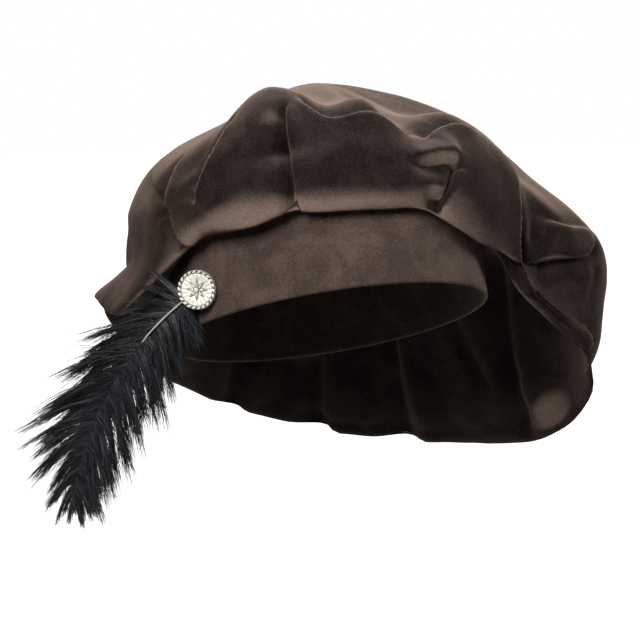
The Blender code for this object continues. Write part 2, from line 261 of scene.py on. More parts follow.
class Tree:
    """Adds nodes to one material or node group and links them."""

    def __init__(self, tree: bpy.types.NodeTree) -> None:
        """Takes the tree to add to.

        Args:
            tree: The material's or the group's node tree.
        """
        self.tree = tree

    def fill(self, node: bpy.types.Node, **values) -> bpy.types.Node:
        """Gives a node's inputs their values.

        Args:
            node: The node.
            **values: A constant or a linked socket for each input, by name with _ for a space,
                or by number as in_0.

        Returns:
            The node.
        """
        for key, value in values.items():
            name = int(key[3:]) if key.startswith("in_") else key.replace("_", " ")
            socket = node.inputs[name]
            if isinstance(value, bpy.types.NodeSocket):
                self.tree.links.new(value, socket)
            else:
                socket.default_value = value
        return node

    def add(self, kind: str, settings: dict | None = None, **values) -> bpy.types.Node:
        """Adds one node.

        Args:
            kind: The node's type name.
            settings: Properties of the node itself.
            **values: Its inputs, as fill takes them.

        Returns:
            The node.
        """
        node = self.tree.nodes.new(kind)
        for key, value in (settings or {}).items():
            setattr(node, key, value)
        return self.fill(node, **values)

    def math(self, operation: str, *values, clamp: bool = False) -> bpy.types.NodeSocket:
        """Adds one step of arithmetic.

        Args:
            operation: Its name in Blender.
            *values: Its constants or sockets, in order.
            clamp: Whether the result is held between 0 and 1.

        Returns:
            The result.
        """
        numbered = {f"in_{i}": value for i, value in enumerate(values)}
        settings = {"operation": operation, "use_clamp": clamp}
        return self.add("ShaderNodeMath", settings, **numbered).outputs[0]

    def mix(self, share: object, first: object, second: object) -> bpy.types.NodeSocket:
        """Adds a blend of two colours, each a constant or a socket.

        Args:
            share: How much of the second shows, from 0 to 1.
            first: The first colour.
            second: The second colour.

        Returns:
            The blend.
        """
        given = {"Factor": share, "in_6": first, "in_7": second}
        return self.add("ShaderNodeMix", {"data_type": "RGBA"}, **given).outputs[2]

    def span(self, value: bpy.types.NodeSocket, **ends: float) -> bpy.types.NodeSocket:
        """Adds a change from one range to another.

        Args:
            value: What is changed.
            **ends: From_Min, From_Max, To_Min and To_Max, where they aren't 0 and 1.

        Returns:
            The result.
        """
        return self.add("ShaderNodeMapRange", Value=value, **ends).outputs[0]


def new_material(name: str, shown: Colour) -> tuple[bpy.types.Material, Tree, bpy.types.Node]:
    """Starts a material.

    Args:
        name: Its name.
        shown: Its colour in Blender's plain views.

    Returns:
        The material, its tree and its shader.
    """
    made = bpy.data.materials.new(name)
    made.use_nodes = True
    made.diffuse_color = (*shown, 1)
    return made, Tree(made.node_tree), made.node_tree.nodes["Principled BSDF"]


def new_group(name: str, inputs: dict[str, tuple[str, object]], outputs: dict[str, str]) -> Tree:
    """Starts a shader node group with named sockets.

    Args:
        name: The group's name.
        inputs: For each input, its socket type and its value.
        outputs: For each output, its socket type.

    Returns:
        The group's tree.
    """
    group = bpy.data.node_groups.new(name, "ShaderNodeTree")
    for label, (kind, value) in inputs.items():
        made = group.interface.new_socket(label, in_out="INPUT", socket_type=kind)
        made.default_value = value
    for label, kind in outputs.items():
        group.interface.new_socket(label, in_out="OUTPUT", socket_type=kind)
    return Tree(group)


FLOAT, COLOUR = "NodeSocketFloat", "NodeSocketColor"


def pile_group() -> bpy.types.NodeTree:
    """Builds the nap of a pile cloth: a fine grain, and patches where the pile lies over.

    Returns:
        The group, which puts out a colour, a roughness, a height and the grain alone.
    """
    tree = new_group(
        "Pile nap",
        {
            "Pile Color": (COLOUR, (0.05, 0.04, 0.03, 1)),
            "Brushed Color": (COLOUR, (0.1, 0.08, 0.06, 1)),
            "Patch Scale": (FLOAT, 40.0),
            "Grain Scale": (FLOAT, 1200.0),
            "Roughness": (FLOAT, 0.7),
        },
        {"Color": COLOUR, "Roughness": FLOAT, "Height": FLOAT, "Grain": FLOAT},
    )
    given = tree.add("NodeGroupInput").outputs
    here = tree.add("ShaderNodeTexCoord").outputs["Object"]
    patch = tree.add(
        "ShaderNodeTexNoise", Vector=here, Scale=given["Patch Scale"], Detail=5.0, Roughness=0.6,
        Distortion=0.6,
    ).outputs["Fac"]
    brushed = tree.span(patch, From_Min=0.38, From_Max=0.68)
    grain = tree.add(
        "ShaderNodeTexNoise", Vector=here, Scale=given["Grain Scale"], Detail=3.0, Roughness=0.7
    ).outputs["Fac"]
    grained = tree.span(grain, From_Min=0.3, From_Max=0.7, To_Min=-0.6, To_Max=0.6)
    share = tree.math("ADD", brushed, grained, clamp=True)
    colour = tree.mix(share, given["Pile Color"], given["Brushed Color"])
    rough = tree.math("MULTIPLY_ADD", brushed, -0.12, given["Roughness"])
    height = tree.math("ADD", grain, tree.math("MULTIPLY", patch, 0.5))
    tree.add("NodeGroupOutput", Color=colour, Roughness=rough, Height=height, Grain=grained)
    return tree.tree


@dataclass(frozen=True)
class Velvet:
    """Cotton velvet. Its pile is stroked one way, and its base colour is painted dark seen along the pile and pale
    against it: a painted sheen.

    lean is how far the pile lies over, the way that the cloth's nap attribute says. The painted
    sheen pales the cloth from stroked_from to stroked_to, by edge where it is seen edge on, and unevenly by fleck.
    """

    name: str
    pile: Colour
    brushed: Colour
    # The colour of the painted sheen, mixed into the base colour where the cloth shows pale.
    leaning: Colour
    sheen: float
    sheen_colour: Colour
    patch_scale: float = 45.0
    grain_scale: float = 900.0
    roughness: float = 0.75
    lean: float = 0.8
    edge: float = 0.62
    stroked_from: float = 0.18
    stroked_to: float = 0.64
    fleck: float = 0.5

    def build(self, group: bpy.types.NodeTree) -> bpy.types.Material:
        """Makes the material.

        Args:
            group: The nap's node group.

        Returns:
            The material.
        """
        made, tree, shader = new_material(self.name, self.pile)
        nap = tree.add(
            "ShaderNodeGroup", {"node_tree": group},
            Pile_Color=(*self.pile, 1), Brushed_Color=(*self.brushed, 1),
            Patch_Scale=self.patch_scale, Grain_Scale=self.grain_scale, Roughness=self.roughness,
        ).outputs
        bump = tree.add("ShaderNodeBump", Strength=0.4, Distance=0.0006, Height=nap["Height"])
        normal = bump.outputs["Normal"]
        # Painted sheen: the base colour is mixed towards the sheen's pale colour where the pile points away from the
        # view and where the cloth is seen edge on.
        tips = self.pile_direction(tree, normal)
        away = tree.add("ShaderNodeLayerWeight", Blend=0.5, Normal=tips).outputs["Facing"]
        plain = tree.add("ShaderNodeLayerWeight", Blend=0.5, Normal=normal).outputs["Facing"]
        stroked = tree.add(
            "ShaderNodeMapRange", {"interpolation_type": "SMOOTHSTEP"},
            Value=tree.math("SUBTRACT", away, plain),
            From_Min=self.stroked_from, From_Max=self.stroked_to,
        ).outputs[0]
        seen_edge_on = tree.math("POWER", plain, 3.0)
        leaning = tree.math("MULTIPLY_ADD", seen_edge_on, self.edge, stroked, clamp=True)
        flecked = tree.math("MULTIPLY_ADD", nap["Grain"], self.fleck, 1.0)
        leaning = tree.math("MULTIPLY", leaning, flecked, clamp=True)
        tree.fill(
            shader, Base_Color=tree.mix(leaning, nap["Color"], (*self.leaning, 1)),
            Roughness=nap["Roughness"], Normal=normal, Specular_IOR_Level=0.04,
            Sheen_Weight=self.sheen, Sheen_Roughness=0.42, Sheen_Tint=(*self.sheen_colour, 1),
        )
        return made

    def pile_direction(self, tree: Tree, normal: bpy.types.NodeSocket) -> bpy.types.NodeSocket:
        """Leans the surface's normal over by the nap, within the surface.

        Args:
            tree: The material's tree.
            normal: The surface's normal.

        Returns:
            The way the pile's tips point.
        """
        stroke = tree.add("ShaderNodeAttribute", {"attribute_name": NAP}).outputs["Vector"]
        leant = tree.add("ShaderNodeVectorMath", {"operation": "SCALE"}, in_0=stroke, Scale=self.lean)
        tips = tree.add(
            "ShaderNodeVectorMath", {"operation": "ADD"}, in_0=normal, in_1=leant.outputs[0]
        )
        return tree.add("ShaderNodeVectorMath", {"operation": "NORMALIZE"}, in_0=tips.outputs[0]).outputs[0]


@dataclass(frozen=True)
class Plume:
    """Black ostrich barbs, each strand a little different in tone; the paler strands are also painted highlights."""

    name: str
    dark: Colour
    # The pale strands' colour: partly their tone, partly painted highlights.
    light: Colour
    roughness: float = 0.38

    def build(self) -> bpy.types.Material:
        """Makes the material.

        Returns:
            The material.
        """
        made, tree, shader = new_material(self.name, self.dark)
        tone_and_highlight = tree.add("ShaderNodeAttribute", {"attribute_name": TONE_AND_HIGHLIGHT}).outputs["Fac"]
        rough = tree.span(tone_and_highlight, To_Min=self.roughness - 0.1, To_Max=self.roughness + 0.15)
        tree.fill(
            shader, Base_Color=tree.mix(tone_and_highlight, (*self.dark, 1), (*self.light, 1)),
            Roughness=rough, Sheen_Weight=0.05, Sheen_Tint=(0.75, 0.85, 1.0, 1),
        )
        return made


@dataclass(frozen=True)
class Metal:
    """Antique cast metal: bright where it stands proud, dark patina in its hollows."""

    name: str
    bright: Colour
    patina: Colour
    roughness: float = 0.32
    hollow: str = ""
    metallic: float = 0.65

    def build(self) -> bpy.types.Material:
        """Makes the material.

        Returns:
            The material.
        """
        made, tree, shader = new_material(self.name, self.bright)
        here = tree.add("ShaderNodeTexCoord").outputs["Object"]
        cloud = tree.add("ShaderNodeTexNoise", Vector=here, Scale=700.0, Detail=4.0).outputs["Fac"]
        share = tree.span(cloud, From_Min=0.45, From_Max=0.8, To_Max=0.35)
        if self.hollow:
            sunk = tree.add("ShaderNodeAttribute", {"attribute_name": self.hollow}).outputs["Fac"]
            share = tree.math("ADD", share, sunk, clamp=True)
        rough = tree.span(share, To_Min=self.roughness, To_Max=self.roughness + 0.3)
        pits = tree.add("ShaderNodeBump", Strength=0.25, Distance=0.0001, Height=cloud)
        tree.fill(
            shader, Base_Color=tree.mix(share, (*self.bright, 1), (*self.patina, 1)),
            Roughness=rough, Normal=pits.outputs["Normal"], Metallic=self.metallic,
        )
        return made


@dataclass(frozen=True)
class Horn:
    """The quill: translucent grey horn, streaked a little along its length."""

    name: str
    pale: Colour
    dark: Colour

    def build(self) -> bpy.types.Material:
        """Makes the material.

        Returns:
            The material.
        """
        made, tree, shader = new_material(self.name, self.pale)
        here = tree.add("ShaderNodeTexCoord").outputs["Object"]
        cloud = tree.add("ShaderNodeTexNoise", Vector=here, Scale=180.0, Detail=3.0).outputs["Fac"]
        base = tree.mix(cloud, (*self.pale, 1), (*self.dark, 1))
        tree.fill(shader, Base_Color=base, Roughness=0.35)
        return made


# Each velvet's fourth colour is its painted sheen: the pale colour it is painted seen edge on and against the pile.
CROWN_VELVET = Velvet(
    "crown velvet", (0.0060, 0.0037, 0.0032), (0.019, 0.0130, 0.0111), (0.262, 0.188, 0.149), 0.012,
    (0.42, 0.29, 0.22),
)
BAND_VELVET = Velvet(
    "band velvet", (0.042, 0.027, 0.022), (0.078, 0.0545, 0.0435), (0.19, 0.140, 0.112), 0.05,
    (0.42, 0.29, 0.22), patch_scale=55.0, lean=0.2,
)
CAST_METAL = Metal("cast button metal", (0.82, 0.79, 0.71), (0.045, 0.04, 0.035), 0.42, "hollow", 0.4)
POST_METAL = Metal("post metal", (0.42, 0.40, 0.37), (0.12, 0.11, 0.10), 0.4)
# The plume's pale colour is partly strand tone, partly painted highlights.
OSTRICH = Plume("ostrich black", (0.0012, 0.0012, 0.0014), (0.062, 0.066, 0.073))
QUILL = Horn("quill horn", (0.55, 0.52, 0.48), (0.16, 0.15, 0.15))


# Head band


@dataclass(frozen=True)
class HeadBand:
    """The folded velvet band that holds the head, an oval ring worn tipped up at the front.

    Lengths are in millimetres. The inside is a 58 cm head.
    """

    half_width: float = 81.5
    half_length: float = 101.5
    wall: float = 2.5
    height: float = 46.0
    tilt: float = 17.5
    clearance: float = 0.5
    seam_gap: float = 0.3
    columns: int = 300
    face_rows: int = 22
    edge_rows: int = 6
    ripple: float = 0.35
    seam_azimuth: float = -86.0
    seam_depth: float = 0.45
    seam_half: float = 0.9
    each_degree: float = 1.6

    def profile(self) -> np.ndarray:
        """Lays out the wall's closed profile.

        Returns:
            Rows of (share of the wall outwards, height in mm), once round.
        """
        radius = self.wall / 2
        rise = np.linspace(radius, self.height - radius, self.face_rows)
        turn = np.linspace(0, pi, self.edge_rows + 2)[1:-1]
        outer = np.stack([np.ones_like(rise), rise], 1)
        top = np.stack([0.5 + 0.5 * np.cos(turn), self.height - radius * (1 - np.sin(turn))], 1)
        inner = np.stack([np.zeros_like(rise), rise[::-1]], 1)
        foot = np.stack([0.5 - 0.5 * np.cos(turn), radius * (1 - np.sin(turn))], 1)
        ring = np.concatenate([outer, top, inner, foot])
        return np.concatenate([ring, ring[:1]])

    def points(self) -> np.ndarray:
        """Places the band's surface as it is worn.

        Returns:
            An array [column, row, xyz] in metres.
        """
        a = np.radians(np.linspace(0, 360, self.columns + 1))[:, None]
        share, up = self.profile().T
        seam = (np.degrees(a) - self.seam_azimuth + 180) % 360 - 180
        outside = np.where(share > 0.5, 1, 0)
        groove = np.exp(-((seam * self.each_degree / self.seam_half) ** 2)) * outside
        groove = -self.seam_depth * groove
        wave = np.sin(5 * a + up / 14) * np.sin(3 * a - 1.1) + 0.5 * np.sin(11 * a + up / 9)
        puff = self.ripple * wave * np.sin(pi * up / self.height) * outside * 0.6
        out = share * self.wall + groove + puff
        x = (self.half_width + out) * np.sin(a)
        y = -(self.half_length + out) * np.cos(a)
        flat = np.stack([x, y, np.broadcast_to(up, x.shape)], -1)
        return flat @ worn_turn(self.tilt) * MM

    def build(self, finishes: dict[str, bpy.types.Material]) -> bpy.types.Object:
        """Makes the band.

        Args:
            finishes: The hat's materials by part.

        Returns:
            The band.
        """
        points = self.points()
        stroke = np.gradient(points, axis=1)
        stroke /= np.linalg.norm(stroke, axis=-1, keepdims=True) + 1e-9
        return place_piece(
            "head_band_velvet", grid_mesh(points, stroke), finishes["band"], "band_velvet",
            ["head_band"],
        )


def worn_turn(tilt: float) -> np.ndarray:
    """The turn that tips the band up at the front, for points held in rows.

    Args:
        tilt: Its angle in degrees.

    Returns:
        A 3 by 3 matrix that rows of points are multiplied by on their right.
    """
    return np.array(Matrix.Rotation(radians(tilt), 3, "X"))


# Crown


@dataclass(frozen=True)
class Section:
    """One upright section of the crown, in millimetres from its plumb axis and the origin.

    lip is the lowest fold; hollow is how far the cloth between seam and lip is drawn in; belly,
    shoulder, crest and dip follow the cloth up and over the top.
    """

    azimuth: float
    lip_out: float
    lip_up: float
    hollow: float
    belly_out: float
    belly_up: float
    shoulder_out: float
    shoulder_up: float
    crest_out: float
    crest_up: float
    dip_out: float
    dip_up: float


SECTIONS = (
    Section(-150, 111, -34, 14, 122, -4, 118, 32, 96, 74, 56, 106),
    Section(-130, 116, -6, 14, 111, 18, 106, 46, 92, 80, 54, 106),
    Section(-115, 121, 13, 12, 100, 36, 103, 60, 87, 88, 50, 109),
    Section(-97, 112, 8, 10, 101, 36, 101, 64, 84, 91, 48, 112),
    Section(-80, 99, 32, 4, 102, 50, 101, 74, 84, 97, 46, 115),
    Section(-64, 98, 51, 0.5, 105, 62, 103, 86, 82, 108, 46, 121),
    Section(-43, 105, 59.5, 0.5, 111, 76, 107, 103, 84, 129, 50, 127),
    Section(-31, 106, 67.5, 0.5, 111, 80, 106, 104, 85, 126, 51, 125),
    Section(-22, 107, 67.5, 0.5, 112, 82, 106, 102, 88, 120, 52, 122),
    Section(-8, 107, 69, 0.5, 112, 84, 106, 104, 86, 124, 52, 122),
    Section(7, 107, 67, 0.5, 112, 82, 106, 96, 88, 108, 54, 116),
    Section(17, 108, 58, 1, 115, 76, 110, 97, 88, 112, 55, 116),
    Section(27, 109, 49, 4, 118, 70, 112, 98, 88, 116, 56, 115),
    Section(37, 110, 41, 4, 120, 62, 114, 92, 88, 111, 58, 113),
    Section(45, 112, 24, -6, 122, 48, 116, 78, 92, 98, 62, 112),
    Section(55, 126, 4, -14, 142, 30, 138, 56, 102, 88, 64, 114),
    Section(65, 146, -16, -18, 157, 8, 154, 46, 114, 82, 68, 116),
    Section(78, 153, -46, -15, 158, -14, 155, 36, 117, 80, 68, 114),
    Section(95, 150, -72, 0, 157, -32, 154, 30, 118, 78, 68, 110),
    Section(120, 147, -83, 6, 158, -42, 152, 22, 118, 74, 66, 108),
    Section(145, 137, -81, 8, 152, -42, 148, 20, 118, 70, 66, 106),
    Section(170, 128, -68, 8, 144, -34, 142, 22, 112, 72, 62, 106),
    Section(190, 116, -52, 8, 134, -24, 130, 26, 104, 74, 58, 106),
)


class Laps(Enum):
    """Which side of a fold's line lies over the other, seen from its foot to its head."""

    LEFT = 1
    RIGHT = -1


@dataclass(frozen=True)
class Fold:
    """One pleat, on a line from foot through bend to head over the cloth.

    A place is an azimuth in degrees and a share of the way from the seam to the crown's centre.
    depth is how far the line is drawn in and slope how wide the cloth falls to it; the lapping
    side rises within steep to crest and lies lap over the line. Lengths are in millimetres.
    """

    foot: Place
    bend: Place
    head: Place
    laps: Laps
    depth: float
    slope: float
    crest: float = 2.0
    lap: float = 4.0
    steep: float = 4.0
    roll: float = 16.0
    rise: float = 0.15
    fall: float = 0.35


FRONT_FOLDS = (
    Fold((-29.2, 0.13), (-31.3, 0.42), (-35, 0.65), Laps.RIGHT, 8, 12, 0.5, 3, 2.5, 16, 0.12, 0.12),
    Fold((-62, 0.41), (-58.5, 0.50), (-53, 0.65), Laps.RIGHT, 15, 17, 2, 3, 2.5, 16, 0.25, 0.15),
    Fold((-66, 0.14), (-72.5, 0.42), (-77, 0.66), Laps.RIGHT, 9, 12, 1.5, 3, 2.5, 12, 0.1, 0.2),
    Fold((-73, 0.42), (-86, 0.57), (-111, 0.69), Laps.RIGHT, 8, 16, 3.5, 3, 2.5, 14, 0.15, 0.3),
    Fold((-33, 0.69), (-14, 0.635), (9, 0.66), Laps.RIGHT, 4, 18, 2, 0, 4, 12, 0.2, 0.2),
    Fold((9, 0.62), (20, 0.65), (32, 0.58), Laps.RIGHT, 4, 16, 2, 0, 4, 12, 0.15, 0.3),
    Fold((10, 0.22), (12.5, 0.34), (16.5, 0.47), Laps.RIGHT, 5, 8, 1, 4, 2.5, 14, 0.3, 0.1),
    Fold((17, 0.465), (9, 0.475), (-1, 0.42), Laps.RIGHT, 3, 9, 3, 0, 6, 13, 0.1, 0.45),
    Fold((44.5, 0.27), (38.5, 0.38), (40, 0.56), Laps.LEFT, 9, 12, 1.5, 4, 3.5, 18, 0.15, 0.25),
    Fold((33, 0.19), (50, 0.345), (63, 0.52), Laps.LEFT, 5, 11, 2.5, 2, 3.5, 10, 0.2, 0.12),
    Fold((44, 0.385), (55, 0.52), (67, 0.535), Laps.RIGHT, 3, 9, 1.5, 1, 3, 8, 0.3, 0.3),
    Fold((65, 0.19), (60, 0.31), (61, 0.49), Laps.LEFT, 2.6, 4, 0.8, 0, 2.5, 4, 0.1, 0.1),
    Fold((37, 0.13), (50, 0.195), (68, 0.18), Laps.LEFT, 8, 40, 0, 0, 4, 12, 0.2, 0.1),
)
SIDE_FOLDS = (
    Fold((66, 0.22), (78, 0.34), (94, 0.58), Laps.RIGHT, 6, 22, 1, 1, 8, 18, 0.3, 0.4),
    Fold((78, 0.03), (92, 0.11), (98, 0.205), Laps.LEFT, 12, 20, 2, 3, 4, 20, 0.1, 0.1),
    Fold((110, 0.03), (107, 0.10), (106, 0.15), Laps.RIGHT, 5, 12, 1, 1, 4, 12, 0.15, 0.1),
    Fold((128, 0.0), (131, 0.14), (133, 0.30), Laps.LEFT, 11, 24, 2, 3, 6, 18, 0.1, 0.4),
    Fold((154, 0.0), (154, 0.14), (152, 0.30), Laps.LEFT, 10, 24, 2, 3, 6, 18, 0.1, 0.4),
    Fold((180, 0.0), (179, 0.13), (176, 0.28), Laps.LEFT, 8, 22, 1, 2, 6, 16, 0.1, 0.4),
    Fold((206, 0.0), (207, 0.13), (210, 0.28), Laps.LEFT, 7, 22, 1, 1, 7, 16, 0.1, 0.5),
    Fold((234, 0.0), (236, 0.13), (240, 0.28), Laps.LEFT, 6, 18, 1, 1, 7, 16, 0.1, 0.5),
    Fold((94, 0.17), (128, 0.185), (164, 0.18), Laps.LEFT, 1.6, 5, 0.5, 0, 3, 5, 0.1, 0.1),
)
BACK_FOLDS = (
    Fold((140, 0.40), (148, 0.60), (146, 0.84), Laps.LEFT, 6, 34, 2, 1, 12, 28, 0.3, 0.5),
    Fold((186, 0.34), (194, 0.58), (196, 0.84), Laps.LEFT, 7, 34, 2, 1, 12, 28, 0.3, 0.5),
    Fold((228, 0.36), (222, 0.58), (228, 0.82), Laps.RIGHT, 6, 30, 2, 1, 12, 26, 0.3, 0.5),
    Fold((98, 0.38), (100, 0.58), (108, 0.82), Laps.RIGHT, 6, 30, 2, 1, 12, 26, 0.3, 0.5),
    Fold((164, 0.28), (168, 0.44), (172, 0.62), Laps.RIGHT, 4, 22, 1, 1, 9, 20, 0.3, 0.5),
    Fold((120, 0.30), (124, 0.46), (122, 0.62), Laps.RIGHT, 4, 22, 1, 1, 9, 20, 0.3, 0.5),
    Fold((210, 0.30), (212, 0.46), (208, 0.60), Laps.LEFT, 4, 22, 1, 1, 9, 20, 0.3, 0.5),
)


@dataclass(frozen=True)
class Swell:
    """A soft bulge, or a hollow if its height is negative, round one place on the cloth.

    across, up and height are in millimetres, and turn is how far it is turned, in degrees.
    """

    place: Place
    across: float
    up: float
    turn: float
    height: float


SWELLS = (
    Swell((-35, 0.505), 14, 8, 15, -8),
    Swell((-64, 0.57), 10, 12, 0, -4),
    Swell((9, 0.44), 12, 5, 0, -3.5),
    Swell((-50, 0.36), 24, 12, 10, 3),
    Swell((-8, 0.29), 34, 8, 0, 1.5),
    Swell((8.5, 0.285), 5, 6, 0, -4),
    Swell((28, 0.32), 14, 22, -14, 1.5),
    Swell((46, 0.38), 5, 8, -30, -3),
    Swell((-104, 0.42), 16, 12, 0, 2.5),
)


# Painted highlights: patches where the pile is stroked less, stands up, or is stroked the other way,
# so that the painted sheen pales the crown's lit patches. Here a row's height has no unit: it is
# added to 1, so -1 stands the pile up and -2 turns it round.
PAINTED_HIGHLIGHT_PATCHES = (
    Swell((-39, 0.58), 22, 18, 20, -1.55),
    Swell((-36, 0.46), 11, 12, 10, -0.8),
    Swell((33, 0.50), 18, 34, -20, -1.0),
    Swell((44, 0.37), 9, 12, 0, -1.1),
    Swell((10, 0.435), 12, 4, 0, -0.8),
    Swell((-90, 0.42), 16, 14, 0, -0.6),
    Swell((59, 0.475), 22, 9, 20, -2.6),
    Swell((52, 0.54), 14, 16, 0, -1.7),
    Swell((89, 0.183), 34, 16, 0, -2.6),
    Swell((158, 0.10), 44, 20, 0, -1.6),
)


@dataclass(frozen=True)
class Crown:
    """The full gathered crown: one sheet of velvet from the band's seam over to its centre.

    Lengths are in millimetres.
    """

    band: HeadBand
    cloth: float = 2.0
    centre_up: float = 131.0
    folded_from: float = -116.0
    folded_to: float = 72.0
    folded_columns: int = 264
    plain_columns: int = 92
    folded_up_to: float = 0.74
    folded_rows: int = 112
    top_rows: int = 20
    stations: tuple[float, ...] = (0.0, 0.10, 0.20, 0.36, 0.52, 0.68, 0.84, 1.0, 1.16)
    line_steps: int = 20
    softening: int = 1
    wrinkle: float = 0.7
    wrinkle_size: float = 22.0
    free_from: float = 0.05
    free_to: float = 0.93
    turned_most: float = -1.1

    def lines(self) -> tuple[np.ndarray, np.ndarray]:
        """Places the cloth's columns and rows, closer together where it folds.

        Returns:
            The columns' azimuths, and the rows' places between seam and centre.
        """
        folded = np.linspace(self.folded_from, self.folded_to, self.folded_columns + 1)
        plain = np.linspace(self.folded_to, self.folded_from + 360, self.plain_columns + 1)[1:]
        rows = np.linspace(0, self.folded_up_to, self.folded_rows + 1)
        top = np.linspace(self.folded_up_to, 1, self.top_rows + 1)[1:]
        return np.concatenate([folded, plain]), np.concatenate([rows, top])

    def seam_ring(self, azimuth: np.ndarray) -> np.ndarray:
        """Finds the band's top edge on each section's plane.

        Args:
            azimuth: The sections' azimuths.

        Returns:
            One (out, up) for each.
        """
        spare = self.band.wall + self.band.clearance
        half_width = self.band.half_width + spare
        tilt = radians(self.band.tilt)
        half_length = (self.band.half_length + spare) * cos(tilt)
        a = np.radians(azimuth)
        out = 1 / np.sqrt((np.sin(a) / half_width) ** 2 + (np.cos(a) / half_length) ** 2)
        up = (self.band.height + self.band.seam_gap) * cos(tilt) + tan(tilt) * np.cos(a) * out
        return np.stack([out, up], 1)

    def section_controls(self, azimuth: np.ndarray) -> np.ndarray:
        """Reads the sections' control points round the crown.

        Args:
            azimuth: Where to read them.

        Returns:
            An array [azimuth, control, (out, up)] from the seam to just past the centre.
        """
        ring = np.array([row.azimuth for row in SECTIONS], float)
        tabled = np.array([list(vars(row).values())[1:] for row in SECTIONS], float)
        knots = np.concatenate([ring - 360, ring, ring + 360])
        around = (azimuth - ring[0]) % 360 + ring[0]
        rows = cubic_through(knots, np.concatenate([tabled] * 3), around)
        seam = self.seam_ring(azimuth)
        lip, hollow = rows[:, 0:2], rows[:, 2:3]
        rest = rows[:, 3:].reshape(len(azimuth), 4, 2)
        run = lip - seam
        inward = np.stack([run[:, 1], -run[:, 0]], 1) / np.linalg.norm(run, axis=1, keepdims=True)
        under = seam + run / 2 + inward * hollow
        centre = np.tile([[0.0, self.centre_up]], (len(azimuth), 1))
        ends = np.stack([centre, rest[:, -1] * (-1, 1)], 1)
        return np.concatenate([np.stack([seam, under, lip], 1), rest, ends], 1)

    def smooth_points(self, azimuth: np.ndarray, along: np.ndarray) -> np.ndarray:
        """Places the cloth before it is folded.

        Args:
            azimuth: The columns.
            along: The rows.

        Returns:
            An array [column, row, xyz] in millimetres.
        """
        controls = self.section_controls(azimuth)
        flat = controls.transpose(1, 0, 2).reshape(len(self.stations), -1)
        read = cubic_through(np.array(self.stations), flat, along)
        out, up = read.reshape(len(along), len(azimuth), 2).transpose(2, 1, 0)
        a = np.radians(azimuth)[:, None]
        axis = (self.band.height + self.band.seam_gap) * sin(radians(self.band.tilt))
        return np.stack([out * np.sin(a), axis - out * np.cos(a), up], -1)

    def scale_at(self, place: Place) -> np.ndarray:
        """Measures the cloth at one place.

        Args:
            place: Its azimuth and its share of the way to the centre.

        Returns:
            Millimetres for each degree round, and for the whole way up at this rate.
        """
        azimuth = place[0] + np.array([-2.0, 0.0, 2.0])
        along = np.clip(place[1], 0.02, 0.95) + np.array([-0.02, 0.0, 0.02])
        patch = self.smooth_points(azimuth, along)
        round_it = np.linalg.norm(patch[2, 1] - patch[0, 1]) / 4
        return np.array([round_it, np.linalg.norm(patch[1, 2] - patch[1, 0]) / 0.04])

    def chart(
        self, azimuth: np.ndarray, along: np.ndarray, at: Place, scale: np.ndarray
    ) -> np.ndarray:
        """Lays the cloth flat round one place.

        Args:
            azimuth: The columns.
            along: The rows.
            at: The place.
            scale: Its scale, from scale_at.

        Returns:
            An array [column, row, (across, up)] in millimetres.
        """
        turn = (azimuth[:, None] - at[0] + 180) % 360 - 180 + at[0]
        return np.stack(np.broadcast_arrays(turn * scale[0], along[None] * scale[1]), -1)

    def fold_shift(self, fold: Fold, azimuth: np.ndarray, along: np.ndarray) -> np.ndarray:
        """Works out what one fold does to the cloth.

        Args:
            fold: The fold.
            azimuth: The columns.
            along: The rows.

        Returns:
            An array [column, row, (across, up, out)] of moves in millimetres.
        """
        scale = self.scale_at(fold.bend)
        foot, bend, head = (np.array(place) for place in (fold.foot, fold.bend, fold.head))
        control = 2 * bend - (foot + head) / 2
        t = np.linspace(0, 1, self.line_steps + 1)[:, None]
        line = ((1 - t) ** 2 * foot + 2 * t * (1 - t) * control + t**2 * head) * scale
        here = self.chart(azimuth, along, fold.bend, scale)
        nearest = np.full(here.shape[:2], np.inf)
        side = np.zeros_like(nearest)
        place = np.zeros_like(nearest)
        across = np.zeros_like(here)
        for i, step in enumerate(np.diff(line, axis=0)):
            length = np.linalg.norm(step)
            left = np.array([-step[1], step[0]]) / length
            away = here - line[i]
            share = np.clip(away @ step / length**2, 0, 1)
            distance = np.linalg.norm(away - share[..., None] * step, axis=-1)
            nearer = distance < nearest
            nearest = np.where(nearer, distance, nearest)
            side = np.where(nearer, np.sign(away @ left) * fold.laps.value, side)
            place = np.where(nearer, (i + share) / self.line_steps, place)
            across[nearer] = left * -fold.laps.value
        end = smooth_step(0, fold.rise, place) * (1 - smooth_step(1 - fold.fall, 1, place))
        valley = -fold.depth * np.clip(1 - nearest / fold.slope, 0, 1) ** 2
        past = np.clip(1 - (nearest - fold.steep) / fold.roll, 0, 1) ** 2
        wall = smooth_step(0, fold.steep, nearest)
        lapped = np.where(
            nearest < fold.steep, (fold.depth + fold.crest) * wall - fold.depth, fold.crest * past
        )
        out = np.where(side > 0, lapped, valley) * end
        over = np.where(side > 0, np.where(nearest < fold.steep, wall, past), 0) * fold.lap * end
        return np.concatenate([across * over[..., None], out[..., None]], -1)

    def swell_height(self, swell: Swell, azimuth: np.ndarray, along: np.ndarray) -> np.ndarray:
        """Works out how far one swell lifts the cloth.

        Args:
            swell: The swell.
            azimuth: The columns.
            along: The rows.

        Returns:
            An array [column, row] in millimetres.
        """
        scale = self.scale_at(swell.place)
        away = self.chart(azimuth, along, swell.place, scale) - np.array(swell.place) * scale
        turn = radians(swell.turn)
        across = (away[..., 0] * cos(turn) + away[..., 1] * sin(turn)) / swell.across
        up = (away[..., 1] * cos(turn) - away[..., 0] * sin(turn)) / swell.up
        return swell.height * np.exp(-(across**2) - up**2)

